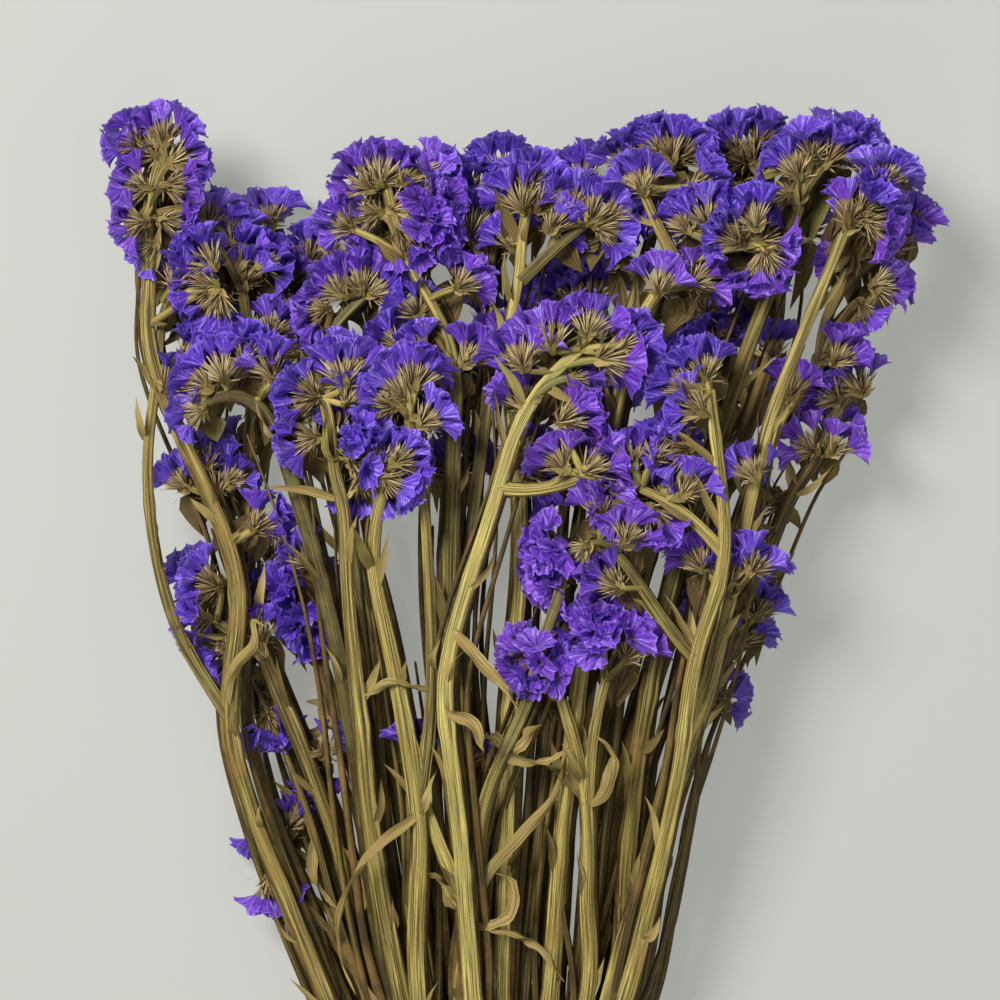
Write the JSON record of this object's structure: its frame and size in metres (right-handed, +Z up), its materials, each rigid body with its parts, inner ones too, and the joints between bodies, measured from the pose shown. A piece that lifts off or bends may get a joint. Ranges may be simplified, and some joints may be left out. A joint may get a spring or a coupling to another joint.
{
  "type": "dried flower bunch",
  "caption": "Bunch of dried statice lying on its side: winged straw stems, brown bracts and crimped violet florets, tied with twine",
  "frame": {"origin": "middle of the bunch's outline seen from above, on the surface it lies on", "axes": "+Y from the cut ends towards the flower heads, +X to the right in the picture, +Z up, towards the viewer"},
  "size_m": [0.3362, 0.5842, 0.0975],
  "materials": {
    "straw_olive": "dry straw, matte",
    "violet_deep": "papery calyx, deep violet",
    "violet_bright": "papery calyx, bright violet",
    "violet_red": "papery calyx, reddish violet",
    "twine": "plain jute twine"
  },
  "bodies": {
    "root": {"florets_01": "violet_deep", "florets_02": "violet_bright", "florets_03": "violet_red", "florets_04": "violet_deep", "florets_05": "violet_bright", "florets_06": "violet_red", "florets_07": "violet_deep", "florets_08": "violet_bright", "florets_09": "violet_red", "florets_10": "violet_deep", "florets_11": "violet_bright", "florets_12": "violet_red", "florets_13": "violet_deep", "florets_14": "violet_bright", "florets_15": "violet_red", "florets_16": "violet_deep", "florets_17": "violet_bright", "florets_18": "violet_red", "florets_19": "violet_deep", "florets_20": "violet_bright", "florets_21": "violet_red", "florets_22": "violet_deep", "florets_23": "violet_bright", "florets_24": "violet_red", "florets_25": "violet_deep", "florets_26": "violet_bright", "florets_27": "violet_red", "florets_28": "violet_deep", "florets_29": "violet_bright", "florets_30": "violet_red", "spray_back_centre": "straw_olive", "spray_back_left": "straw_olive", "spray_back_mid": "straw_olive", "spray_back_right": "straw_olive", "spray_centre": "straw_olive", "spray_centre_low": "straw_olive", "spray_centre_right": "straw_olive", "spray_centre_tall": "straw_olive", "spray_forked": "straw_olive", "spray_inner_left": "straw_olive", "spray_inner_low": "straw_olive", "spray_left_arch": "straw_olive", "spray_left_low": "straw_olive", "spray_left_mid": "straw_olive", "spray_left_tall": "straw_olive", "spray_low_left": "straw_olive", "spray_low_right": "straw_olive", "spray_mid_spread": "straw_olive", "spray_outer_left": "straw_olive", "spray_outer_right": "straw_olive", "spray_ribbed_low": "straw_olive", "spray_right": "straw_olive", "spray_right_front": "straw_olive", "spray_right_long": "straw_olive", "spray_right_upper": "straw_olive", "spray_top_left": "straw_olive", "spray_top_mid": "straw_olive", "spray_top_right": "straw_olive", "twine": "twine"}
  },
  "joints": []
}
